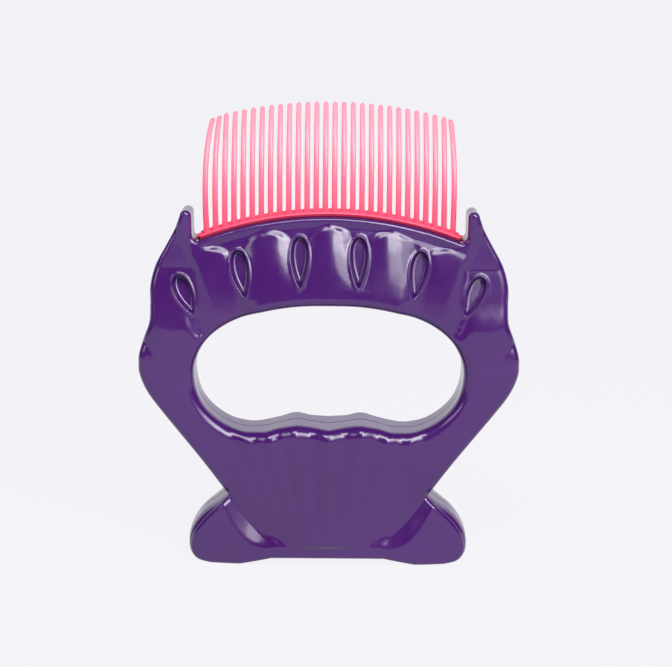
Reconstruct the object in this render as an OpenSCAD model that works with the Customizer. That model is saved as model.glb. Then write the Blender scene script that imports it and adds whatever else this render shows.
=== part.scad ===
// Shell-shaped grooming comb for the hand: two hollow plastic half shells with a
// finger hole, screwed together over a comb that stands along the arched top.
// X is the width, the front faces -Y, +Z is up. The origin is on the ground plane,
// centred between the two feet and on the parting plane of the shells.

/* [Body] */
// Depth of the body between the crests of the front and back fans
body_d = 25; // [24:0.5:28]
// Wall thickness of both shells
wall = 2.2; // [1.8:0.1:2.6]
// Radius of the rounding along the front and back edges
edge_r = 2.4; // [1.5:0.1:3]
// Height of the arched rim at its middle
rim_top = 111.8; // [111:0.1:113]
// Radius of the arched rim
rim_r = 113; // [112:1:115]
// Depth of the teardrop recesses in the lobes
tear_depth = 1.5; // [0.6:0.1:1.8]
// Number of flutes in the fan below the finger hole
flute_count = 9; // [5:2:11]

/* [Comb] */
// Number of teeth
tooth_count = 28; // [20:1:28]
// Distance from one tooth to the next
tooth_pitch = 2.87; // [2.4:0.01:2.9]
// Width of a tooth, seen from the front
tooth_w = 1.8; // [1.2:0.1:1.9]
// Thickness of a tooth at its root, front to back
tooth_t = 2.4; // [1.6:0.1:2.6]
// Height of the middle teeth's tips above the ground plane
tip_top = 146.5; // [135:0.5:150]
// How far the tips curve back from the parting plane
tip_back = 11; // [6:0.5:11.5]
// Thickness of the spine that the shells clamp
spine_t = 2.4; // [2:0.1:3]
// Thickness of the strip that covers the rim between the shells
strip_t = 9; // [6:0.5:9]

/* [Screws] */
// Diameter of the screw shank
screw_d = 2.6; // [2.2:0.1:3]
// Length of the screw under its head
screw_len = 10.5; // [9:0.5:10.5]
// Diameter of the screw head
head_d = 5; // [4:0.1:5.4]
// Height of the screw head
head_h = 1.8; // [1.2:0.1:2.2]

/* [Hidden] */

purple = [0.29, 0.14, 0.46];
pink = [1, 0.55, 0.68];
steel = [0.75, 0.75, 0.78];

fan_d = body_d / 2;          // half depth at the crests of the fan
lobe_face = fan_d - 1.5;     // half depth at the crests of the lobes
body_face = fan_d - 3.3;     // half depth of the flanks beside the finger hole
foot_face = fan_d - 4.5;     // half depth of the feet
base_face = fan_d - 2;       // half depth of the band along the base
rim_face = fan_d - 5.5;      // half depth of the horns and the rim's lip
base_h = 4.6;                // height of the band along the base
lip_w = 2.8;                 // width of the lip along the rim
horn_foot_z = 95.6;          // height at which a horn rises from the body
fan_arc_r = 165;             // radius of the fan's face, seen from above
lobe_half_angle = 34;        // how far the lobes reach around the rim's centre
cavity_d = body_face - wall;
rim_cavity_d = rim_face - wall;
rim_z = rim_top - rim_r;     // height of the centre of the rim's arc
edge_steps = 2;              // steps in the rounding of an edge
span_steps = 3;              // points in each span of a smooth curve
fit_gap = 0.1;               // clearance of parts that are clamped
sink = 0.5;                  // how far joined features reach into each other

horn_in = 43.1;              // inner side of a horn
horn_tip = [45, 111.9];      // centre of the rounding at the tip of a horn
horn_tip_r = 1.85;

spine_show = 1.5;            // height of the spine that shows above the rim
spine_h = 10;                // height of the spine
spine_half = 42;             // half width of the spine
strip_half = 41;             // half width of the strip
peg_r = 1.5;                 // locating pegs through the spine
peg_boss_r = 3;
peg_reach = 3;               // how far the pegs stand past the parting plane
peg_line_r = rim_r - 6.5;    // radius of the arc that the pegs stand on
peg_angles = [-16, -5, 5, 16];

boss_r = 3.6;                // screw bosses of the front shell
well_r = 3;                  // screw wells of the back shell
well_wall = 1.8;
seat_h = 4;                  // distance of the screw heads from the parting plane
screw_top = [19, 94];
screw_side = [51, 68];
screw_base = [20, 20];

// Right half of the outline, as stretches that are each smooth: the base and the foot,
// the side up to the horn, and the finger hole from its bottom to its top.
base_pts = [[18, 1.9], [23, 0.9], [28, 0]];
foot_pts = [[38, 0], [42.3, 1], [44.5, 3.8], [44.6, 8.4], [43, 12.4], [40, 16.3], [36, 19.4], [31.9, 22.4]];
side_pts = [[31.9, 22.4], [39.3, 32.4], [46.2, 41.2], [52.5, 49.2], [57.3, 55.9], [59.8, 62], [60, 67.4],
            [58.4, 73.2], [56.5, 78.6], [56.2, 84], [56.2, 90], [54.6, 96.2], [51.4, 102.2], [48.5, 107.6],
            [46.8, 112]];
hole_pts = [[0, 44.3], [5.4, 45], [10.4, 45.7], [15.8, 44.6], [20.6, 43.4], [26.4, 43.3], [32, 45.1],
            [37.2, 48.8], [40.8, 53.6], [42.5, 59.8], [42.1, 66.2], [38.8, 72.6], [33.2, 77.4], [26, 80.7],
            [17.6, 82.9], [8.8, 84.1], [0, 84.3]];
// Lower edge of the fan, from the middle to where a foot meets the body
fan_pts = [[0, 5], [11, 5.2], [18, 7.2], [23.1, 11.7], [27.6, 17], [31.9, 23.6]];
// Top and bottom of the teardrops on the right side
tears = [[[9.3, 105.6], [9.1, 90.4]], [[28.9, 101.3], [26.4, 87.1]], [[47.8, 93.3], [42.7, 81.6]]];
tear_w = 5.4;
// Section of the lobes across the rim: distance from the rim's edge, drop from the crests
lobe_section = [[16, 0], [10, 0.9], [6, 2.2], [lip_w, 3.8]];
lobe_groove = 1.2;           // depth of the valleys between the lobes
lobe_groove_r = 7;
lobe_groove_drop = 3;        // how far a valley's upper end lies behind the crests of the lobes
flank_groove = 0.8;          // depth of the valleys beside the finger hole
flank_lines = [[[52, 84], [43, 73]], [[59, 66], [49, 60]]];
fan_foot_z = -25;            // height at which the lines of the flutes meet
fan_start = 32;              // distance from there to the bottom of the flutes
fan_reach = 80;              // and to their top
fan_spread = 50;             // angle between the sides of the fan
flute_groove = 1.2;          // depth of the grooves between the flutes
flute_groove_r = 5;

// Point at t of 0 to 1 between p1 and p2, on a smooth curve through all four points
function curve_point(p0, p1, p2, p3, t) =
    (2 * p1 + (p2 - p0) * t + (2 * p0 - 5 * p1 + 4 * p2 - p3) * t * t
        + (3 * p1 - p0 - 3 * p2 + p3) * t * t * t) / 2;

// Smooth open curve through a list of points
function smooth(pts) = [
    for (i = [0 : len(pts) - 2], k = [0 : span_steps - 1])
        curve_point(pts[max(i - 1, 0)], pts[i], pts[i + 1], pts[min(i + 2, len(pts) - 1)], k / span_steps),
    pts[len(pts) - 1]
];

// Points of an arc around a centre, from one angle to another
function arc(centre, r, from, to, steps) = [
    for (k = [0 : steps]) centre + r * [cos(from + (to - from) * k / steps), sin(from + (to - from) * k / steps)]
];

// The same points on the left side, in the opposite order
function mirrored(pts) = [for (i = [len(pts) - 1 : -1 : 0]) [-pts[i][0], pts[i][1]]];

// The same place on either side: side is -1 on the left and 1 on the right
function on_side(place, side) = [side * place[0], place[1]];

function rim_angle(x) = acos(x / rim_r);

// Outline of the body from the front, without the finger hole
module outline() {
    half = concat(smooth(base_pts), smooth(foot_pts), smooth(side_pts),
                  arc(horn_tip, horn_tip_r, 20, 180, 6),
                  [[horn_in, 106.4]],
                  arc([0, rim_z], rim_r, rim_angle(41.8), 90, 12));
    polygon(concat(half, mirrored(half)));
}

module hole() {
    half = smooth(hole_pts);
    polygon(concat(half, mirrored(half)));
}

// Everything above the lower edge of the fan
module above_fan_edge() {
    edge = concat(smooth(fan_pts), [[70, 24], [70, 120]]);
    polygon(concat(edge, mirrored(edge)));
}

module ring() {
    difference() {
        outline();
        hole();
    }
}

// The part of the body in front of the horns, the rim's lip and the feet
module face() {
    intersection() {
        ring();
        above_fan_edge();
        translate([0, rim_z]) circle(r = rim_r - lip_w, $fn = 240);
    }
}

// The part of the ring below a height
module ring_below(height) {
    difference() {
        ring();
        translate([-80, height]) square([160, 120]);
    }
}

// Slab of a flat shape, between two distances in front of the parting plane
module slab(near, far) {
    translate([0, -near, 0]) rotate([90, 0, 0]) linear_extrude(far - near) children();
}

// Slab that reaches from the parting plane to a face with rounded edges
module rounded_slab(far) {
    slab(0, far - edge_r) children();
    for (k = [1 : edge_steps]) {
        low = edge_r * sin(90 * (k - 1) / edge_steps);
        high = edge_r * sin(90 * k / edge_steps);
        inset = edge_r * (1 - cos(90 * (k - 0.5) / edge_steps));
        slab(far - edge_r + low - 0.01, far - edge_r + high) offset(delta = -inset) children();
    }
}

// Cylinder that stands on the parting plane at a place seen from the front
module post(place, r, near, far) {
    translate([place[0], -near, place[1]]) rotate([90, 0, 0]) cylinder(r = r, h = far - near, $fn = 48);
}

// Round-bottomed groove between two places on a face, each with the face's half depth there
module groove(from, from_face, to, to_face, r, depth) {
    start = [from[0], depth - from_face - r, from[1]];
    way = [to[0], depth - to_face - r, to[1]] - start;
    translate(start) rotate([0, acos(way[2] / norm(way)), atan2(way[1], way[0])])
        cylinder(r = r, h = norm(way), $fn = 64);
}

// Solid of revolution around the rim's centre, in front of the lobes' section
module before_lobes(drop, inner) {
    section = [for (p = lobe_section) [rim_r - p[0], lobe_face - p[1] - drop]];
    outer = rim_r + 8;
    translate([0, 0, rim_z]) rotate([90, 0, 0]) rotate_extrude($fn = 96)
        polygon(concat([[inner, lobe_face - drop + 0.01]], section,
                       [[outer, section[len(section) - 1][1]], [outer, fan_d + 4], [inner, fan_d + 4]]));
}

// The lobes: a band along the rim that slopes down to the lip
module lobes() {
    reach = 150;
    difference() {
        rounded_slab(lobe_face) intersection() {
            face();
            translate([0, rim_z]) polygon([[0, 0], reach * [sin(lobe_half_angle), cos(lobe_half_angle)],
                                           reach * [-sin(lobe_half_angle), cos(lobe_half_angle)]]);
            union() {
                translate([-horn_in, 0]) square([2 * horn_in, 130]);
                translate([-80, 0]) square([160, horn_foot_z]);
            }
        }
        before_lobes(0, rim_r - 17);
    }
}

// The raised fan: a wedge with a curved face, whose sides meet where the lines of the flutes meet
module fan() {
    top = 47;
    half_w = (top - fan_foot_z) * tan(fan_spread / 2 + 2);
    intersection() {
        rounded_slab(fan_d) intersection() {
            ring();
            above_fan_edge();
            polygon([[0, fan_foot_z], [half_w, top], [-half_w, top]]);
        }
        translate([0, fan_arc_r - fan_d, 0]) cylinder(r = fan_arc_r, h = top, $fn = 180);
    }
}

// Half depth of the fan's face at a distance from the middle
function fan_face(x) = fan_d - fan_arc_r + sqrt(fan_arc_r * fan_arc_r - x * x);

// Grooves between the flutes of the fan
module flute_grooves() {
    for (k = [1 : flute_count - 1]) {
        angle = fan_spread * (k / flute_count - 0.5);
        dir = [sin(angle), cos(angle)];
        start = [0, fan_foot_z] + fan_start * dir;
        end = [0, fan_foot_z] + fan_reach * dir;
        groove(start, fan_face(start[0]), end, fan_face(end[0]), flute_groove_r, flute_groove);
    }
}

// Valleys between the lobes, through the teardrops, and across the flanks
module valleys() {
    for (side = [-1, 1]) {
        for (tear = tears)
            groove(on_side(tear[0] + (tear[0] - tear[1]) / 4, side), lobe_face - lobe_groove_drop,
                   on_side(tear[1], side), lobe_face + lobe_groove / 3, lobe_groove_r, lobe_groove);
        for (line = flank_lines)
            groove(on_side(line[0], side), body_face, on_side(line[1], side), body_face,
                   lobe_groove_r, flank_groove);
    }
}

// Flat leaf with a round top and a pointed bottom
module teardrop(top, bottom) {
    way = top - bottom;
    long = norm(way);
    steps = 10;
    half = [for (k = [0 : steps]) let (t = k / steps) [tear_w * 1.3 * pow(t, 0.9) * sqrt(1 - t), long * t]];
    translate(bottom) rotate(-atan2(way[0], way[1]))
        polygon(concat(half, mirrored(half)));
}

// Recesses whose floors run parallel to the lobes' section
module tear_recesses() {
    intersection() {
        slab(0, fan_d + 1) for (side = [-1, 1], tear = tears)
            teardrop(on_side(tear[0], side), on_side(tear[1], side));
        before_lobes(tear_depth, rim_r / 2);
    }
}

// Part of a ring along the rim, between two radii
module rim_band(inner, outer, half_w) {
    intersection() {
        translate([0, rim_z]) difference() {
            circle(r = outer, $fn = 240);
            circle(r = inner, $fn = 240);
        }
        translate([-half_w, 80]) square([2 * half_w, 60]);
    }
}

module spine_slot() {
    slab(-1, spine_t / 2 + fit_gap) rim_band(rim_r - spine_h, rim_r + 3, spine_half + 0.4);
}

// Hollow half body with its relief, the front one
module half_shell() {
    difference() {
        union() {
            rounded_slab(rim_face) ring();
            rounded_slab(body_face) face();
            rounded_slab(foot_face) ring_below(23);
            rounded_slab(base_face) ring_below(base_h);
            lobes();
            fan();
        }
        flute_grooves();
        valleys();
        tear_recesses();
        slab(-1, rim_cavity_d) offset(delta = -wall) ring();
        slab(-1, cavity_d) offset(delta = -wall) face();
        spine_slot();
    }
}

function peg_place(angle) = [0, rim_z] + peg_line_r * [sin(angle), cos(angle)];

module front_shell() {
    color(purple) difference() {
        union() {
            half_shell();
            for (angle = peg_angles) {
                post(peg_place(angle), peg_boss_r, spine_t / 2 + fit_gap, cavity_d);
                post(peg_place(angle), peg_r, -peg_reach, rim_cavity_d);
            }
            for (side = [-1, 1], place = [screw_top, screw_side, screw_base])
                post(on_side(place, side), boss_r, 0, cavity_d + sink);
        }
        for (side = [-1, 1], place = [screw_top, screw_side, screw_base])
            post(on_side(place, side), screw_d / 2 + fit_gap / 2, -1, screw_len - seat_h + 0.3);
    }
}

module back_shell() {
    color(purple) mirror([0, 1, 0]) difference() {
        union() {
            half_shell();
            for (angle = peg_angles) post(peg_place(angle), peg_boss_r, spine_t / 2 + fit_gap, cavity_d);
            for (side = [-1, 1], place = [screw_top, screw_side, screw_base])
                post(on_side(place, side), well_r + well_wall, 0, cavity_d + sink);
        }
        for (angle = peg_angles) post(peg_place(angle), peg_r + fit_gap, 0, peg_reach + fit_gap);
        for (side = [-1, 1], place = [screw_top, screw_side, screw_base]) {
            post(on_side(place, side), screw_d / 2 + 0.2, -1, seat_h + 1);
            post(on_side(place, side), well_r, seat_h, fan_d + 1);
        }
    }
}

// Side view of a tooth of a given height: a claw that leans forward and then curves back
function tooth_side(h) = let (
    steps = 12,
    mid = [for (k = [0 : steps]) let (t = k / steps) [tip_back * pow(t, 2.6) - 4 * t * (1 - t), h * t]],
    half_t = [for (k = [0 : steps]) let (t = k / steps) tooth_t / 2 * (1 - 0.45 * t) * (k == steps ? 0.45 : 1)]
) concat([for (k = [0 : steps]) mid[k] - [half_t[k], 0]], [for (k = [steps : -1 : 0]) mid[k] + [half_t[k], 0]]);

module tooth(x) {
    root = rim_z + sqrt(pow(rim_r + spine_show, 2) - x * x) - sink;
    tip_r = 142;
    tip = tip_top - tip_r + sqrt(tip_r * tip_r - x * x);
    translate([x, 0, root]) rotate([90, 0, 90])
        linear_extrude(tooth_w, center = true) polygon(tooth_side(tip - root));
}

module comb() {
    comb_r = rim_r + spine_show;
    color(pink) {
        difference() {
            slab(-spine_t / 2, spine_t / 2) rim_band(comb_r - spine_h, comb_r, spine_half);
            for (angle = peg_angles) post(peg_place(angle), peg_r + fit_gap, -spine_t, spine_t);
        }
        slab(-strip_t / 2, strip_t / 2) rim_band(rim_r + fit_gap, comb_r, strip_half);
        for (k = [0 : tooth_count - 1]) tooth((k - (tooth_count - 1) / 2) * tooth_pitch);
    }
}

// Self-tapping screw with a round head and a cross recess, driven from the back
module screw(place, side) {
    at = on_side(place, side);
    tip = 2;
    color(steel) translate([at[0], seat_h, at[1]]) rotate([90, 0, 0]) difference() {
        rotate_extrude($fn = 48) polygon([
            [0, -head_h], [head_d / 2 - 0.6, -head_h], [head_d / 2, -head_h * 0.55], [head_d / 2, 0],
            [screw_d / 2, 0], [screw_d / 2, screw_len - tip], [0.3, screw_len], [0, screw_len]]);
        for (turn = [0, 90]) rotate(turn) translate([-1.5, -0.3, -head_h - 1]) cube([3, 0.6, 2]);
    }
}

front_shell();
back_shell();
comb();
screw(screw_top, -1);  // screw_top_left
screw(screw_top, 1);  // screw_top_right
screw(screw_side, -1);  // screw_side_left
screw(screw_side, 1);  // screw_side_right
screw(screw_base, -1);  // screw_base_left
screw(screw_base, 1);  // screw_base_right
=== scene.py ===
import math

import bpy
import numpy as np
from mathutils import Matrix, Vector
from mathutils.geometry import delaunay_2d_cdt


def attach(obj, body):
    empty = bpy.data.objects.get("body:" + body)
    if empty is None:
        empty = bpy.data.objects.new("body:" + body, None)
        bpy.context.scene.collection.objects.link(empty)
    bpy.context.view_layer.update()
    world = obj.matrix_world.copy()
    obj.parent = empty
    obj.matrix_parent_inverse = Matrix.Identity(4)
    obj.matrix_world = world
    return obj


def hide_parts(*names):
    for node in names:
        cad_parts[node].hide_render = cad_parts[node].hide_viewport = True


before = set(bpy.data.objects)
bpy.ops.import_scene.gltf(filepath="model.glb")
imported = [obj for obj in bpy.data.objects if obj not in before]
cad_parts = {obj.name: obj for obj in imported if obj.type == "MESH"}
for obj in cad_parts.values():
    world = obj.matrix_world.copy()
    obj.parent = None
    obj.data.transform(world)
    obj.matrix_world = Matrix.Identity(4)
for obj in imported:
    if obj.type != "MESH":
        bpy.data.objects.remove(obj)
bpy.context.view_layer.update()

# The shells and the comb are drawn here in millimetres, in the CAD frame: X is the width, the front
# faces -Y, +Z is up. A shell's face is a half depth, its distance from the parting plane (Y = 0), at
# each (x, z).
MM = 0.001

# --- outlines, right half, as in the CAD model ---------------------------------------------------
BASE = [(18, 1.9), (23, 0.9), (28, 0)]
FOOT_MIDDLE = [(38, 0), (42.3, 1), (44.5, 3.8), (44.6, 8.4), (43, 12.4), (40, 16.3), (36, 19.4),
               (31.9, 22.4)]
FOOT_FRONT = [(37.8, 0), (41.8, 0.9), (43.9, 3.4), (43.9, 6.9), (42.5, 10.6), (39.6, 14.6), (35.9, 18.4),
              (31.9, 22.1)]
SIDE = [(31.9, 22.4), (39.3, 32.4), (46.2, 41.2), (52.5, 49.2), (57.3, 55.9), (59.8, 62), (60, 67.4),
        (58.4, 73.2), (56.5, 78.6), (56.2, 84), (56.2, 90), (54.6, 96.2), (51.4, 102.2), (48.5, 107.6),
        (46.8, 112)]
HOLE = [(0, 44.3), (5.4, 45), (10.4, 45.7), (15.8, 44.6), (20.6, 43.4), (26.4, 43.3), (32, 45.1),
        (37.2, 48.8), (40.8, 53.6), (42.5, 59.8), (42.1, 66.2), (38.8, 72.6), (33.2, 77.4), (26, 80.7),
        (17.6, 82.9), (8.8, 84.1), (0, 84.3)]
FAN_EDGE = [(0, 5), (11, 5.2), (18, 7.2), (23.1, 11.7), (27.6, 17), (31.9, 23.6)]
HORN_TIP, HORN_TIP_R, HORN_INNER_X, NOTCH_X = (45, 111.9), 1.85, 43.1, 41.8
RIM_TOP, RIM_R = 111.8, 113.0
RIM_Z = RIM_TOP - RIM_R
WIDTH_HALF = 60.05       # nothing reaches further to the side

# --- half depths of the shell's face -------------------------------------------------------------
RIM, FLANK_LOW, FLANK_HIGH, FAN, BASE_BAND, FOOT_LOW, FOOT_TOP = 6.6, 9.2, 9.8, 12.4, 10.8, 8.6, 10.9
# Lobes along the rim: they rise from LOBE_START on, measured from the rim's edge, first at a slope of
# LOBE_SLOPE[0], at the end at LOBE_SLOPE[1]. Valleys with flat floors part them. Each valley but the
# outermost starts with a sunk wedge under the rim, with soft sides.
LOBE_START, LOBE_LENGTH, LOBE_STEP, LOBE_SLOPE = 2.9, 22.6, 0.15, (0.36, 0.11)
END_LOBE_FROM = (14, 19)   # degrees from the middle between which the last lobe begins
VALLEY_FLOOR, VALLEY_DEEP, END_VALLEY_DEEP = 1.7, 2.3, 2.6
WEDGE_W, WEDGE_H, WEDGE_DEEP, WEDGE_SLOPE, WEDGE_SOFT = 15.5, 4.6, 0.6, 0.26, 2.4
HORN_FOOT, HORN_SLOPE = 95.6, 0.17      # a horn's face ends at this height and slopes out below it
HORN_FROM = (22.7, 24.1)   # degrees from the middle between which a horn's face begins
# Teardrops as (top, bottom), right side
TEARS = [((9.3, 105.6), (9.1, 90.4)), ((28.9, 101.3), (26.4, 87.1)), ((47.8, 93.3), (42.7, 81.6))]
# Widths of the three valleys of the right half, on the side away from the middle and towards it
VALLEY_WIDTHS = [(9.3, 9.3), (5.2, 9.3), (4.6, 5.6)]
RIM_SLOPE = 0.14           # of the band between the rim and the lobes
END_LOBE_DROP, END_LOBE_LEAN = 0.45, 0.06      # the last lobe rises less and leans towards the middle
TEAR_HALF, TEAR_DEEP, TEAR_SLOPE = 2.6, 1.8, 0.28
TEAR_REACH = 12            # a teardrop changes nothing further than this from its centre
BEAD_OUT, BEAD_W, BEAD_H = 0.45, 0.34, 0.42
# Valley that runs from the edge to the finger hole: start, end, width and depth at its start
FLANK_VALLEY = ((61.5, 76), (49, 61), 9.5, 2.0)
SEAM_Z = 62              # height at which the lower body's relief passes to the upper body's
FAN_FOOT = -25.0         # height at which the lines of the flutes meet
FAN_DROP = 2.6           # how much lower the fan is at its sides
FLUTE_CRESTS = [0, 9.2, 16.2, 21.8, 26.6]   # degrees from the middle
FLUTE_DEEP = np.array([1.2, 0.85, 0.5, 0.35])
FACET_SLOPE = 0.5        # of the foot's inner facet, that faces the fan
FOOT_CROWN, FOOT_CROWN_X = 0.009, 26      # a foot's face falls off as the square of x past this place
BASE_BAND_TOP = 4.6

# --- radii of the rounded edges ------------------------------------------------------------------
OUTER_R, RIM_EDGE_R, HORN_R, FOOT_EDGE_R, HOLE_TOP_R, HOLE_LOW_R = 2.2, 1.0, 1.5, 1.3, 2.7, 3.6

# --- comb ----------------------------------------------------------------------------------------
TOOTH_COUNT, TOOTH_PITCH, TOOTH_W, TOOTH_T = 28, 2.87, 1.82, 2.3
TIP_TOP, TIP_ARC_R, TIP_BACK = 146.5, 142.0, 10.9
TOOTH_BOW = 1.0          # how far the middle of a tooth bows forward
TOOTH_RINGS, TOOTH_AROUND = 44, 20
SPINE_SHOW, SPINE_H, SPINE_HALF, SPINE_T = 1.5, 10.0, 42.0, 2.4
STRIP_T, STRIP_HALF, STRIP_GAP = 9.0, 41.0, 0.1      # strip that covers the rim between the shells
PAINTED_PALE_FROM, PAINTED_PALE_TO = 112, 145      # heights between which the teeth are painted paler, painted light
TOOTH_BENDS = {0: 0.9, 1: 0.45, 27: -0.45}    # sideways bend of the end teeth, by number

# --- screws of the back shell --------------------------------------------------------------------
SCREW_PLACES = [(19, 94), (51, 68), (20, 20)]
WELL_R, SEAT = 3.0, 4.0


# ---------------------------------------------------------------------------- curves and distances
def smooth_curve(points, steps=12):
    """Catmull-Rom curve through the points, with its ends included."""
    p = np.array([points[0]] + list(points) + [points[-1]], float)
    t = (np.arange(steps) / steps)[:, None]
    spans = []
    for i in range(len(points) - 1):
        a, b, c, d = p[i:i + 4]
        spans.append((2 * b + (c - a) * t + (2 * a - 5 * b + 4 * c - d) * t**2
                      + (3 * b - a - 3 * c + d) * t**3) / 2)
    return np.vstack(spans + [p[-1:]])


def arc(centre, radius, start, end, steps):
    """Points of an arc between two angles in degrees, from +X towards +Z."""
    angle = np.radians(np.linspace(start, end, steps))
    return np.array(centre) + radius * np.stack([np.cos(angle), np.sin(angle)], 1)


def mirror_closed(half):
    """A closed loop from its right half, whose ends lie on the middle line or level across it."""
    left = half[::-1] * [-1, 1]
    loop = np.vstack([half, left])
    keep = np.linalg.norm(loop - np.roll(loop, -1, 0), axis=1) > 1e-6
    return loop[keep]


def outline(foot):
    """The body's outer edge from the front, with one of the two shapes of the feet."""
    rim_end = math.degrees(math.acos(NOTCH_X / RIM_R))
    loop = mirror_closed(np.vstack([
        [(0, 1.9)], smooth_curve(BASE), smooth_curve(foot), smooth_curve(SIDE)[1:],
        arc(HORN_TIP, HORN_TIP_R, 20, 180, 16), [(HORN_INNER_X, 107.4)],
        smooth_curve([(HORN_INNER_X, 107.0), (HORN_INNER_X - 0.2, 105.2), (NOTCH_X, 103.95)], 6),
        arc((0, RIM_Z), RIM_R, rim_end, 90, 60)]))
    loop[:, 0] = np.clip(loop[:, 0], -WIDTH_HALF, WIDTH_HALF)
    return loop


def resample(loop, spacing, partner=None):
    """Evenly spaced points along a closed loop, and the matching points of a partner loop."""
    closed = np.vstack([loop, loop[:1]])
    length = np.concatenate([[0], np.cumsum(np.linalg.norm(np.diff(closed, axis=0), axis=1))])
    at = np.linspace(0, length[-1], int(length[-1] / spacing), endpoint=False)
    follow = [closed] if partner is None else [closed, np.vstack([partner, partner[:1]])]
    return [np.stack([np.interp(at, length, c[:, 0]), np.interp(at, length, c[:, 1])], 1) for c in follow]


def line_distance(points, line, closed=False):
    """Distance of each point from a polyline."""
    a = line if closed else line[:-1]
    b = np.roll(line, -1, 0) if closed else line[1:]
    way = b - a
    size = np.maximum((way**2).sum(1), 1e-12)
    best = np.full(len(points), 1e9)
    for first in range(0, len(points), 4000):
        p = points[first:first + 4000, None, :]
        t = np.clip(((p - a) * way).sum(2) / size, 0, 1)[..., None]
        best[first:first + 4000] = np.sqrt((((p - a) - t * way)**2).sum(2).min(1))
    return best


def inside(points, loop):
    """Whether each point lies inside a closed loop."""
    a, b = loop, np.roll(loop, -1, 0)
    result = np.zeros(len(points), bool)
    rise = b[:, 1] - a[:, 1]
    rise = np.where(np.abs(rise) < 1e-12, 1e-12, rise)
    for first in range(0, len(points), 8000):
        x = points[first:first + 8000, 0:1]
        z = points[first:first + 8000, 1:2]
        cross = ((a[:, 1] > z) != (b[:, 1] > z)) & (x < (b[:, 0] - a[:, 0]) * (z - a[:, 1]) / rise + a[:, 0])
        result[first:first + 8000] = cross.sum(1) % 2 == 1
    return result


def signed_distance(points, loop):
    """Distance from a closed loop, negative inside it."""
    return line_distance(points, loop, closed=True) * np.where(inside(points, loop), -1, 1)


def ramp(low, high, value):
    """Smooth change from 0 at low to 1 at high."""
    t = np.clip((value - low) / (high - low), 0, 1)
    return t * t * (3 - 2 * t)


def round_over(t):
    """Quarter-circle rise from 0 to 1."""
    t = np.clip(t, 0, 1)
    return np.sqrt(np.maximum(1 - (1 - t)**2, 0))


def soft_min(a, b, width):
    """The lower of two values, with a rounded change from one to the other."""
    mix = np.clip(0.5 + (b - a) / (2 * width), 0, 1)
    return b + (a - b) * mix - width * mix * (1 - mix)


def normals_left(loop):
    """Unit normals of a loop, to the left of its direction."""
    tangent = np.roll(loop, -1, 0) - np.roll(loop, 1, 0)
    normal = np.stack([-tangent[:, 1], tangent[:, 0]], 1)
    return normal / np.linalg.norm(normal, axis=1)[:, None]


# ------------------------------------------------------------------------------ relief of the face
def line_place(points, start, end):
    """Distance of each point from a line, and its place along it, from 0 at the start to 1."""
    way = np.subtract(end, start)
    from_start = points - start
    along = (from_start @ way) / (way @ way)
    return np.linalg.norm(from_start - np.clip(along, 0, 1)[:, None] * way, axis=1), along


def valley(distance, width):
    """Share of depth of a valley between two convex lobes: 1 on its line, 0 at its width."""
    return (1 - np.clip(distance / width, 0, 1))**2


def teardrop(top, bottom, steps=24):
    """Outline of a leaf with a round top and a pointed bottom."""
    way = np.subtract(top, bottom)
    across = np.array([way[1], -way[0]]) / np.linalg.norm(way)
    t = 1 - (1 - np.linspace(0, 1, steps))**2
    half = TEAR_HALF * 2.5 * t**0.9 * np.sqrt(1 - t)      # 2.5 makes the widest place TEAR_HALF
    right = np.array(bottom) + t[:, None] * way + half[:, None] * across
    left = np.array(bottom) + t[:, None] * way - half[:, None] * across
    return np.vstack([right, left[-2:0:-1]])


def lobes(points):
    """Half depth of the lobed band along the rim."""
    s = RIM_R - np.hypot(points[:, 0], points[:, 1] - RIM_Z)
    t = np.clip((s - LOBE_START) / LOBE_LENGTH, 0, 1)
    high, low = LOBE_SLOPE
    height = RIM + RIM_SLOPE * np.clip(s - LOBE_START, -LOBE_START, 0)
    height += LOBE_STEP * ramp(LOBE_START - 0.4, LOBE_START + 1.4, s)
    phi = np.degrees(np.arctan2(points[:, 0], points[:, 1] - RIM_Z))
    rise = LOBE_LENGTH * (low * t + (high - low) * (t - t * t / 2))
    height += rise * (1 - END_LOBE_DROP * ramp(*END_LOBE_FROM, phi))
    height += END_LOBE_LEAN * np.maximum(points[:, 0] - 30, 0)
    wedge = RIM - WEDGE_DEEP + WEDGE_SLOPE * (s - LOBE_START)
    wedge_half = WEDGE_W / 2 * (1 - (s - LOBE_START) / WEDGE_H)
    fade = 1 - np.clip((s - 8) / 14, 0, 1)
    arch_deep = VALLEY_DEEP * ramp(LOBE_START - 0.3, LOBE_START + 2.5, s) * fade
    end_deep = END_VALLEY_DEEP * ramp(5, 27, s)
    for (top, bottom), widths, deep in zip(TEARS, VALLEY_WIDTHS, (arch_deep, arch_deep, end_deep)):
        reach = np.subtract(top, bottom) * 0.6
        distance, _ = line_place(points, top + reach, bottom - reach * 0.7)
        outer_side = (points - bottom) @ [reach[1], -reach[0]] > 0
        height -= deep * valley(np.maximum(distance, VALLEY_FLOOR), np.where(outer_side, *widths))
    for top, bottom in TEARS[:2]:
        distance, _ = line_place(points, np.multiply(top, 1.1), bottom)
        in_wedge = ramp(WEDGE_SOFT, -WEDGE_SOFT, distance - wedge_half) * ramp(-1.8, 0.6, s - LOBE_START)
        height += (wedge - height) * in_wedge
    return height


def flank_level(z):
    """Half depth of the flank beside the finger hole at a height."""
    return FLANK_LOW + (FLANK_HIGH - FLANK_LOW) * ramp(38, 70, z)


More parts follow.
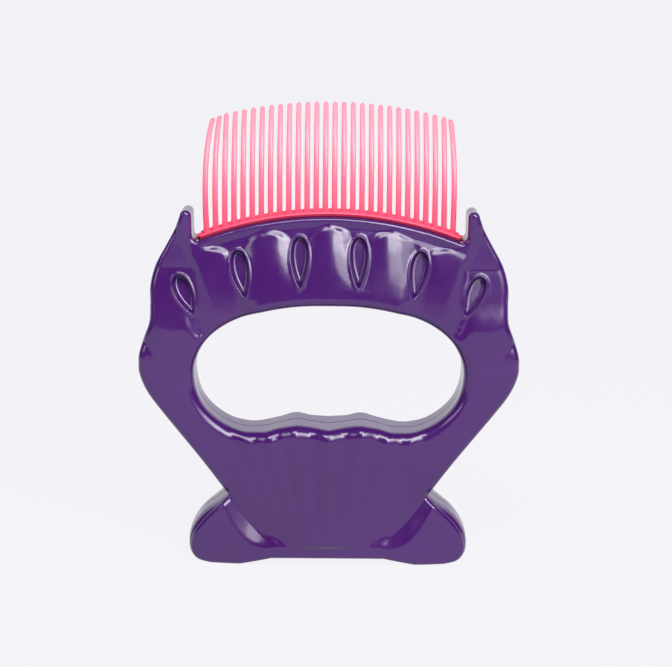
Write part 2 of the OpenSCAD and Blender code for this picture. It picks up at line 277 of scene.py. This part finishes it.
def upper_body(points):
    """Half depth of the arch with its lobes, horns and flanks, right half."""
    x, z = points[:, 0], points[:, 1]
    flank = flank_level(z)
    height = flank + (lobes(points) - flank) * ramp(64, 84, z)

    phi = np.degrees(np.arctan2(x, z - RIM_Z))
    horn_face = RIM - 0.4 + 0.5 * ramp(106, 94, z)
    below = np.maximum(HORN_FOOT - z, 0)
    on_horn = ramp(HORN_FROM[0], HORN_FROM[1] + 0.3 * below, phi) * ramp(70, 86, z)
    height += (soft_min(height, horn_face + HORN_SLOPE * below, 0.4) - height) * on_horn
    for top, bottom in TEARS:
        near = np.linalg.norm(points - np.add(top, bottom) / 2, axis=1) < TEAR_REACH
        gap = signed_distance(points[near], teardrop(top, bottom))
        floor = np.median(height[near][gap < -1]) - TEAR_DEEP
        floor = floor - TEAR_SLOPE * (z[near] - (top[1] + bottom[1]) / 2)
        height[near] += (floor - height[near]) * round_over(-gap / 1.0)
        height[near] += BEAD_H * np.exp(-((gap - BEAD_OUT) / BEAD_W)**2)
    return height


def lower_body(points):
    """Half depth of the fluted fan, the flanks, the base band and the feet, right half."""
    x, z = points[:, 0], points[:, 1]
    fan_curve = smooth_curve(FAN_EDGE)
    region = np.vstack([fan_curve, [(90, 24), (90, 130), (0, 130)]])
    above = line_distance(points, fan_curve) * np.where(inside(points, region), 1, -1)

    theta = np.degrees(np.arctan2(x, z - FAN_FOOT))
    side = FLUTE_CRESTS[-1]
    phase = np.interp(theta, FLUTE_CRESTS, range(len(FLUTE_CRESTS)))
    deep = FLUTE_DEEP[np.minimum(phase.astype(int), len(FLUTE_DEEP) - 1)]
    flutes = deep / 2 * (np.cos(2 * np.pi * phase) - 1) * ramp(2, 26, z)
    fan = FAN - FAN_DROP * np.minimum(theta / side, 1)**2 + flutes
    upper = fan + (flank_level(z) - fan) * np.maximum(ramp(side, side + 5, theta), ramp(46, 60, z))

    outer = FOOT_TOP - FOOT_CROWN * np.maximum(x - FOOT_CROWN_X, 0)**2
    facet_low = BASE_BAND + (FOOT_LOW - BASE_BAND) * ramp(14, 27, x)
    facet = facet_low - FACET_SLOPE * np.minimum(above, 0)
    foot = soft_min(facet, outer, 0.5)
    foot = foot + (outer - foot) * ramp(BASE_BAND_TOP, BASE_BAND_TOP - 1.2, z)
    base = BASE_BAND + (foot - BASE_BAND) * ramp(13, 20, x)
    return base + (upper - base) * ramp(-0.2, 2.4, above)


def relief(points):
    """Distance of the shell's face from the parting plane at each (x, z)."""
    right = np.abs(points)
    height = np.where(right[:, 1] < SEAM_Z, lower_body(right), upper_body(right))
    start, end, width, deep = FLANK_VALLEY
    distance, along = line_place(right, start, end)
    return height - deep * ramp(0.7, 0, along) * valley(distance, width)


def edge_radii(points):
    """Radii of the rounding along the outer edge and along the hole, at each (x, z)."""
    x, z = np.abs(points[:, 0]), points[:, 1]
    rim = (1 - ramp(1.5, 5, RIM_R - np.hypot(x, z - RIM_Z))) * ramp(95, 100, z)
    horn = ramp(42, 43.5, x)
    outer = OUTER_R + rim * ((RIM_EDGE_R - OUTER_R) * (1 - horn) + (HORN_R - OUTER_R) * horn)
    outer += (FOOT_EDGE_R - outer) * (1 - ramp(17, 24, z))
    hole = HOLE_LOW_R + (HOLE_TOP_R - HOLE_LOW_R) * ramp(56, 74, z)
    return outer, hole


# ----------------------------------------------------------------------------------- mesh building
def triangulate(points, loops):
    """Triangles between all points, with each loop's edges kept. Returns points, triangles and,
    for each loop, the indices of its points."""
    edges, first = [], 0
    for size in loops:
        edges += [(first + i, first + (i + 1) % size) for i in range(size)]
        first += size
    made = delaunay_2d_cdt([Vector((float(p[0]), float(p[1]))) for p in points], edges, [], 0, 1e-7)
    verts = np.array([(v.x, v.y) for v in made[0]])
    faces = np.array([f for f in made[2] if len(f) == 3])
    new_index = {}
    for index, sources in enumerate(made[3]):
        for source in sources:
            new_index[source] = index
    rings, first = [], 0
    for size in loops:
        rings.append([new_index[first + i] for i in range(size)])
        first += size
    return verts, faces, rings


def hex_grid(low, high, step):
    """Points of a triangular grid between two corners."""
    rows = np.arange(low[1], high[1], step * 0.866)
    columns = np.arange(low[0], high[0], step)
    x, z = np.meshgrid(columns, rows)
    x = x + (np.arange(len(rows)) % 2)[:, None] * step / 2
    return np.stack([x.ravel(), z.ravel()], 1)


def edge_rings(loop, inward, radius, loops):
    """Points inside a loop that follow its rounding, without those that another stretch of edge
    comes nearer to."""
    kept = []
    for angle in range(8, 91, 8):
        depth = radius * (1 - math.cos(math.radians(angle)))
        ring = loop + normals_left(loop) * depth * inward
        near = np.min([line_distance(ring, other, closed=True) for other in loops], axis=0)
        kept.append(ring[near > depth - 0.02])
    return np.vstack(kept)


def turns_left(loop):
    """Whether a loop runs anticlockwise."""
    x, z = loop[:, 0], loop[:, 1]
    return (x * np.roll(z, -1) - np.roll(x, -1) * z).sum() > 0


def oriented(loop, *partners):
    """The loop and its partners, turned so that the loop runs anticlockwise."""
    flip = slice(None) if turns_left(loop) else slice(None, None, -1)
    return [line[flip] for line in (loop, *partners)]


def band(above, below):
    """Quads between two closed rows of points."""
    n = len(above)
    return [(above[i], above[(i + 1) % n], below[(i + 1) % n], below[i]) for i in range(n)]


def make_object(name, verts, faces, material):
    """A smooth-shaded object from vertices in millimetres, its normals turned outwards."""
    mesh = bpy.data.meshes.new(name)
    mesh.from_pydata([tuple(v) for v in np.asarray(verts) * MM], [], faces)
    mesh.validate()
    mesh.update()
    mesh.polygons.foreach_set("use_smooth", [True] * len(mesh.polygons))
    mesh.materials.append(material)
    obj = bpy.data.objects.new(name, mesh)
    bpy.context.scene.collection.objects.link(obj)
    bpy.context.view_layer.objects.active = obj
    obj.select_set(True)
    bpy.ops.object.mode_set(mode="EDIT")
    bpy.ops.mesh.select_all(action="SELECT")
    bpy.ops.mesh.normals_make_consistent(inside=False)
    bpy.ops.object.mode_set(mode="OBJECT")
    obj.select_set(False)
    return obj


# ------------------------------------------------------------------------------------- the shells
def tear_loops():
    """Outlines of all the teardrops, on both sides."""
    right = [teardrop(top, bottom) for top, bottom in TEARS]
    return right + [loop * [-1, 1] for loop in right]


def face_points(front, hole, wells):
    """Points inside the face: a grid, rings along the edges and rings along the teardrops."""
    edges = [front, hole]
    grid = hex_grid((-61, -1), (61, 115), 0.5)
    grid = grid[inside(grid, front) & ~inside(grid, hole)]
    grid = grid[line_distance(grid, front, closed=True) > OUTER_R + 0.1]
    grid = grid[line_distance(grid, hole, closed=True) > HOLE_LOW_R * 0.9]
    rings = [edge_rings(front, 1, OUTER_R, edges), edge_rings(hole, -1, HOLE_LOW_R, edges)]
    for loop in tear_loops():
        loop = resample(loop, 0.3)[0]
        outward = normals_left(loop) * (-1 if turns_left(loop) else 1)
        near = np.linalg.norm(grid - loop.mean(0), axis=1) < TEAR_REACH
        gap = np.full(len(grid), 9.0)
        gap[near] = signed_distance(grid[near], loop)
        grid = grid[(gap > 1.4) | (gap < -1.3)]
        for step in (-1.1, -0.8, -0.5, -0.25, -0.08, 0.08, 0.25, 0.45, 0.65, 0.85, 1.1):
            ring = loop + outward * step
            rings.append(ring[np.abs(signed_distance(ring, loop)) > abs(step) - 0.03])
    points = np.vstack([grid] + rings)
    for well in wells:
        points = points[np.linalg.norm(points - well.mean(0), axis=1) > WELL_R + 0.6]
    return points


class ShellMesh:
    """Vertices and faces of a shell as they are added, row by row."""

    def __init__(self, side):
        self.side, self.rows, self.count, self.faces = side, [], 0, []

    def add_row(self, line, depth):
        """Adds vertices at a depth from the parting plane and returns their indices."""
        self.rows.append(np.stack([line[:, 0], self.side * depth, line[:, 1]], 1))
        first, self.count = self.count, self.count + len(line)
        return list(range(first, self.count))

    def add_wall(self, above, outer, middle, face_depth, last_depth, inward):
        """Side wall from a boundary of the face to the parting line, where it has a fine groove."""
        for share in (0.96, 0.9, 0.82, 0.72, 0.6, 0.45, 0.3, 0.15, 0.06, 0.03, 0.0):
            line = outer + (middle - outer) * float(round_over((1 - share) * 1.6))
            groove = 0.22 if share == 0 else 0.0
            line = line + normals_left(line) * groove * inward
            below = self.add_row(line, last_depth + (face_depth - last_depth) * share)
            self.faces += band(above, below)
            above = below
        return above, line

    def add_cap(self, outer_ids, outer, hole_ids, hole):
        """Flat closing face on the parting plane."""
        flat, faces, rings = triangulate(np.vstack([outer, hole]), [len(outer), len(hole)])
        centres = flat[faces].mean(1)
        faces = faces[inside(centres, outer) & ~inside(centres, hole)]
        to_mesh = {}
        for ring, ids in zip(rings, (outer_ids, hole_ids)):
            to_mesh.update(zip(ring, ids))
        self.faces += [tuple(to_mesh[v] for v in face[::-1]) for face in faces]

    def add_well(self, above, well, surface):
        """Round well for a screw, down to the seat of its head."""
        centre = well.mean(0)
        outward = (well - centre) / np.linalg.norm(well - centre, axis=1)[:, None]
        seat = np.full(len(well), SEAT)
        for radius, depth in ((WELL_R + 0.12, surface - 0.1), (WELL_R, surface - 0.35),
                              (WELL_R, seat), (0.4, seat)):
            below = self.add_row(centre + outward * radius, depth)
            self.faces += band(above, below)
            above = below
        self.faces.append(tuple(above[::-1]))


def build_shell(name, material, back=False):
    """One half of the body as a closed mesh: face, side walls, wells and a cap on the parting plane."""
    front, middle = oriented(*resample(outline(FOOT_FRONT), 0.5, outline(FOOT_MIDDLE)))
    hole = oriented(resample(mirror_closed(smooth_curve(HOLE)), 0.4)[0])[0]
    wells = []
    if back:
        wells = [arc((sign * x, z), WELL_R + 0.35, 0, 360, 65)[:-1]
                 for x, z in SCREW_PLACES for sign in (-1, 1)]
    loops = [front, hole] + wells
    points = np.vstack(loops + [face_points(front, hole, wells)])
    flat, faces, loop_ids = triangulate(points, [len(loop) for loop in loops])
    centres = flat[faces].mean(1)
    keep = inside(centres, front) & ~inside(centres, hole)
    for well in wells:
        keep &= np.linalg.norm(centres - well.mean(0), axis=1) > WELL_R + 0.33

    height = relief(flat)
    for loop, radius in zip((front, hole), edge_radii(flat)):
        height -= radius * (1 - round_over(line_distance(flat, loop, closed=True) / radius))

    shell = ShellMesh(1.0 if back else -1.0)
    shell.add_row(flat, height)
    shell.faces += [tuple(face) for face in faces[keep]]
    in_slot = (np.abs(front[:, 0]) < SPINE_HALF + 0.3) & (front[:, 1] > 100)
    outer_ids, hole_ids = loop_ids[:2]
    slot_depth = np.where(in_slot, SPINE_T / 2 + 0.1, 0.0)
    outer_end, outer_line = shell.add_wall(outer_ids, front, middle, height[outer_ids], slot_depth, 1)
    hole_end, hole_line = shell.add_wall(hole_ids, hole, hole, height[hole_ids], 0.0, -1)
    shell.add_cap(outer_end, outer_line, hole_end, hole_line)
    for well, ids in zip(wells, loop_ids[2:]):
        shell.add_well(ids, well, height[ids])
    return make_object(name, np.vstack(shell.rows), shell.faces, material)


# --------------------------------------------------------------------------------------- the comb
def rim_height(x, radius):
    """Height at x of an arc about the rim's centre."""
    return RIM_Z + math.sqrt(radius**2 - x * x)


def tube(rows):
    """Vertices and faces of a tube through rows of points, with closed ends."""
    around = len(rows[0])
    polys = []
    for k in range(1, len(rows)):
        low, high = (k - 1) * around, k * around
        polys += band(list(range(low, high)), list(range(high, high + around)))
    last = (len(rows) - 1) * around
    polys += [tuple(range(around))[::-1], tuple(range(last, last + around))]
    return np.vstack(rows), polys


def build_tooth(number):
    """A claw-shaped tooth with a rounded section, from the spine to its tip."""
    x = (number - (TOOTH_COUNT - 1) / 2) * TOOTH_PITCH
    root = rim_height(x, RIM_R + SPINE_SHOW) - 1.2
    tip = TIP_TOP - TIP_ARC_R + math.sqrt(TIP_ARC_R**2 - x * x)
    bend = TOOTH_BENDS.get(number, 0.0)
    angle = np.arange(TOOTH_AROUND) * 2 * np.pi / TOOTH_AROUND
    round_x = np.sign(np.cos(angle)) * np.abs(np.cos(angle))**0.55
    round_y = np.sign(np.sin(angle)) * np.abs(np.sin(angle))**0.75
    rows = []
    for k in range(TOOTH_RINGS + 1):
        t = 1 - (1 - k / TOOTH_RINGS)**1.25
        z = root + (tip - root) * t
        centre_x = x + bend * (1.7 * t**5 - 0.5 * math.sin(math.pi * t))
        centre_y = TIP_BACK * t**2.6 - 4 * TOOTH_BOW * t * (1 - t)
        end = max(float(round_over((tip - z) / (TOOTH_W * 0.5))), 0.05)
        flare = 1 + 0.32 * max(0.0, 1 - max(z - root - 1.2, 0.0))**2
        half_w = TOOTH_W / 2 * (1 - 0.10 * t) * end * flare
        half_t = TOOTH_T / 2 * (1 - 0.42 * t) * end
        rows.append(np.stack([centre_x + half_w * round_x, centre_y + half_t * round_y,
                              np.full(TOOTH_AROUND, z)], 1))
    return tube(rows)


def build_bar(top, height, half_w, thickness):
    """Curved bar with rounded edges along the rim. Its top edge has a radius of top."""
    corner_r = 0.4
    section = []
    for corner, (up, across) in enumerate(((1, 1), (1, -1), (-1, -1), (-1, 1))):
        for k in range(5):
            a = math.radians(90 * corner + 22.5 * k)
            section.append((across * (thickness / 2 - corner_r) - corner_r * math.sin(a),
                            up * (height / 2 - corner_r) + corner_r * math.cos(a)))
    half_angle = math.degrees(math.asin(half_w / top))
    rows = []
    for a in np.radians(np.linspace(-half_angle, half_angle, 161)):
        rows.append(np.array([((top - height / 2 + up) * math.sin(a), y,
                               RIM_Z + (top - height / 2 + up) * math.cos(a)) for y, up in section]))
    return tube(rows)


def build_comb(material):
    """Spine, covering strip and teeth, as one object."""
    top = RIM_R + SPINE_SHOW
    parts = [build_bar(top, SPINE_H, SPINE_HALF, SPINE_T),
             build_bar(top, SPINE_SHOW - STRIP_GAP, STRIP_HALF, STRIP_T)]
    parts += [build_tooth(number) for number in range(TOOTH_COUNT)]
    polys, count = [], 0
    for verts, part_polys in parts:
        polys += [tuple(v + count for v in poly) for poly in part_polys]
        count += len(verts)
    return make_object("comb_insert", np.vstack([verts for verts, _ in parts]), polys, material)


# -------------------------------------------------------------------------------------- materials
def new_material(name):
    """A material with its nodes, links, shader and object coordinates."""
    material = bpy.data.materials.new(name)
    material.use_nodes = True
    nodes, links = material.node_tree.nodes, material.node_tree.links
    shader = nodes["Principled BSDF"]
    place = nodes.new("ShaderNodeTexCoord").outputs["Object"]
    return material, nodes, links, shader, place


def noise(nodes, links, place, scale, detail=3.0, roughness=0.5):
    node = nodes.new("ShaderNodeTexNoise")
    node.inputs["Scale"].default_value = scale
    node.inputs["Detail"].default_value = detail
    node.inputs["Roughness"].default_value = roughness
    links.new(place, node.inputs["Vector"])
    return node.outputs["Fac"]


def spread(nodes, links, value, low, high):
    """Maps a noise value to a range."""
    node = nodes.new("ShaderNodeMapRange")
    node.inputs["From Min"].default_value = 0.3
    node.inputs["From Max"].default_value = 0.7
    node.inputs["To Min"].default_value = low
    node.inputs["To Max"].default_value = high
    links.new(value, node.inputs["Value"])
    return node.outputs["Result"]


def two_colours(nodes, links, value, first, second):
    node = nodes.new("ShaderNodeMix")
    node.data_type = "RGBA"
    node.inputs["A"].default_value = (*first, 1)
    node.inputs["B"].default_value = (*second, 1)
    links.new(value, node.inputs["Factor"])
    return node.outputs["Result"]


def bump(nodes, links, value, strength, distance):
    node = nodes.new("ShaderNodeBump")
    node.inputs["Strength"].default_value = strength
    node.inputs["Distance"].default_value = distance
    links.new(value, node.inputs["Height"])
    return node.outputs["Normal"]


def purple_plastic():
    """Glossy purple with faint clouds of colour, uneven gloss and a slight ripple from the mould."""
    material, nodes, links, shader, place = new_material("purple_plastic")
    cloud = spread(nodes, links, noise(nodes, links, place, 45), 0.0, 1.0)
    links.new(two_colours(nodes, links, cloud, (0.040, 0.0050, 0.091), (0.047, 0.0068, 0.105)),
              shader.inputs["Base Color"])
    links.new(spread(nodes, links, noise(nodes, links, place, 160), 0.15, 0.23), shader.inputs["Roughness"])
    ripple = noise(nodes, links, place, 260, 2.0)
    links.new(bump(nodes, links, ripple, 0.10, 0.0004), shader.inputs["Normal"])
    shader.inputs["IOR"].default_value = 1.5
    shader.inputs["Coat Weight"].default_value = 0.25
    shader.inputs["Coat Roughness"].default_value = 0.08
    return material


def pink_plastic():
    """Satin pink that lets some light through, with painted light: its colour is painted paler from the
    teeth's roots to their tips.
    """
    material, nodes, links, shader, place = new_material("pink_plastic")
    split = nodes.new("ShaderNodeSeparateXYZ")
    links.new(place, split.inputs["Vector"])
    up = nodes.new("ShaderNodeMapRange")
    up.inputs["From Min"].default_value = PAINTED_PALE_FROM * MM
    up.inputs["From Max"].default_value = PAINTED_PALE_TO * MM
    links.new(split.outputs["Z"], up.inputs["Value"])
    # Painted light: the base colour runs from deep pink at the roots to pale pink at the tips, standing in
    # for the light the thin tips let through and catch from above
    links.new(two_colours(nodes, links, up.outputs["Result"], (1.0, 0.075, 0.16), (1.0, 0.26, 0.34)),
              shader.inputs["Base Color"])
    links.new(spread(nodes, links, noise(nodes, links, place, 300), 0.28, 0.38), shader.inputs["Roughness"])
    links.new(bump(nodes, links, noise(nodes, links, place, 500), 0.08, 0.0003), shader.inputs["Normal"])
    shader.inputs["Subsurface Weight"].default_value = 0.35
    shader.inputs["Subsurface Radius"].default_value = (0.004, 0.0015, 0.002)
    shader.inputs["Subsurface Scale"].default_value = 0.5
    shader.inputs["IOR"].default_value = 1.5
    return material


def screw_steel():
    """Plated steel with a fine grain."""
    material, nodes, links, shader, place = new_material("screw_steel")
    tone = spread(nodes, links, noise(nodes, links, place, 900), 0.0, 1.0)
    links.new(two_colours(nodes, links, tone, (0.45, 0.45, 0.47), (0.62, 0.62, 0.64)),
              shader.inputs["Base Color"])
    shader.inputs["Metallic"].default_value = 1.0
    links.new(spread(nodes, links, noise(nodes, links, place, 1500), 0.25, 0.42), shader.inputs["Roughness"])
    links.new(bump(nodes, links, noise(nodes, links, place, 2500), 0.1, 0.0001), shader.inputs["Normal"])
    return material


# ------------------------------------------------------------------------------------ the object
purple, pink, steel = purple_plastic(), pink_plastic(), screw_steel()
for label, is_back in (("front_shell", False), ("back_shell", True)):
    shell = build_shell(label + "_moulding", purple, is_back)
    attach(shell, "root")
    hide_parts(label)
comb = build_comb(pink)
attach(comb, "root")
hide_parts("comb")
for node_name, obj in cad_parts.items():
    if node_name.startswith("screw"):
        obj.data.materials.clear()
        obj.data.materials.append(steel)


# ------------------------------------------------------------------------------------- the studio
# The key light is a grid of soft boxes on the right that fades outwards and downwards
KEY_COLUMNS = [(17, 0.36, 1.0), (34, 0.38, 0.7), (51, 0.38, 0.4)]      # azimuth, width, share of the light
KEY_ROWS = [(34, 0.40, 12.0), (19, 0.24, 5.5), (9, 0.18, 0.8)]         # elevation, height, radiance


def stage_material():
    """Matt surface that glows almost white by itself, so that floor and wall are evenly light."""
    material, _, _, shader, _ = new_material("pale_backdrop")
    shader.inputs["Base Color"].default_value = (0.03, 0.03, 0.031, 1)
    shader.inputs["Roughness"].default_value = 1.0
    shader.inputs["Specular IOR Level"].default_value = 0.0
    shader.inputs["Emission Color"].default_value = (0.896, 0.887, 0.93, 1)
    shader.inputs["Emission Strength"].default_value = 0.975
    return material


def build_stage():
    """Pale sweep: a floor that curves up into a wall behind the object."""
    half, wall_y, bend, top = 4.0, 2.2, 1.0, 3.0
    profile = [(-4.0, 0.0), (wall_y - bend, 0.0)]
    profile += [(wall_y - bend + bend * math.sin(math.radians(a)), bend - bend * math.cos(math.radians(a)))
                for a in range(6, 91, 6)]
    profile.append((wall_y, top))
    verts = [(side * half, y, z) for y, z in profile for side in (-1, 1)]
    faces = [(2 * i, 2 * i + 1, 2 * i + 3, 2 * i + 2) for i in range(len(profile) - 1)]
    mesh = bpy.data.meshes.new("sweep")
    mesh.from_pydata(verts, [], faces)
    mesh.polygons.foreach_set("use_smooth", [True] * len(faces))
    mesh.materials.append(stage_material())
    sweep = bpy.data.objects.new("sweep", mesh)
    bpy.context.scene.collection.objects.link(sweep)


def softbox(name, azimuth, elevation, distance, size, radiance):
    """Rectangular light that faces the object. Azimuth 0 is in front of it, 90 on its right."""
    a, e = math.radians(azimuth), math.radians(elevation)
    target = Vector((0, 0, 0.075))
    away = Vector((math.sin(a) * math.cos(e), -math.cos(a) * math.cos(e), math.sin(e)))
    light = bpy.data.lights.new(name, "AREA")
    light.shape = "RECTANGLE"
    light.size, light.size_y = size
    light.energy = radiance * math.pi * size[0] * size[1]
    lamp = bpy.data.objects.new(name, light)
    lamp.location = target + distance * away
    lamp.rotation_euler = away.to_track_quat("Z", "Y").to_euler()
    bpy.context.scene.collection.objects.link(lamp)


def build_world(colour, strength):
    world = bpy.data.worlds.new("studio")
    world.use_nodes = True
    background = world.node_tree.nodes["Background"]
    background.inputs["Color"].default_value = (*colour, 1)
    background.inputs["Strength"].default_value = strength
    bpy.context.scene.world = world


def build_camera():
    """Lens a little above the object, as the photograph was taken."""
    distance, elevation, roll = 0.600, math.radians(11.6), math.radians(0.42)
    target = Vector((0.0022, 0.0, 0.0737))
    lens = bpy.data.cameras.new("camera")
    lens.sensor_width, lens.lens = 36.0, 100.9
    lens.clip_start, lens.clip_end = 0.05, 30.0
    camera = bpy.data.objects.new("camera", lens)
    back = Vector((0, -math.cos(elevation), math.sin(elevation)))
    camera.matrix_world = (Matrix.Translation(target + distance * back)
                           @ (-back).to_track_quat("-Z", "Y").to_matrix().to_4x4()
                           @ Matrix.Rotation(roll, 4, "Z"))
    bpy.context.scene.collection.objects.link(camera)
    bpy.context.scene.camera = camera


build_stage()
build_world((0.9, 0.9, 0.95), 0.05)
for column, (azimuth, width, share) in enumerate(KEY_COLUMNS):
    for row, (elevation, height, radiance) in enumerate(KEY_ROWS):
        softbox(f"key_right_{column}_{row}", azimuth, elevation, 1.2, (width, height), radiance * share)
softbox("key_left", -52, 26, 1.2, (0.45, 0.6), 3.5)
softbox("overhead", 0, 52, 1.1, (0.6, 0.4), 9.0)
build_camera()
bpy.context.scene.view_settings.view_transform = "Standard"
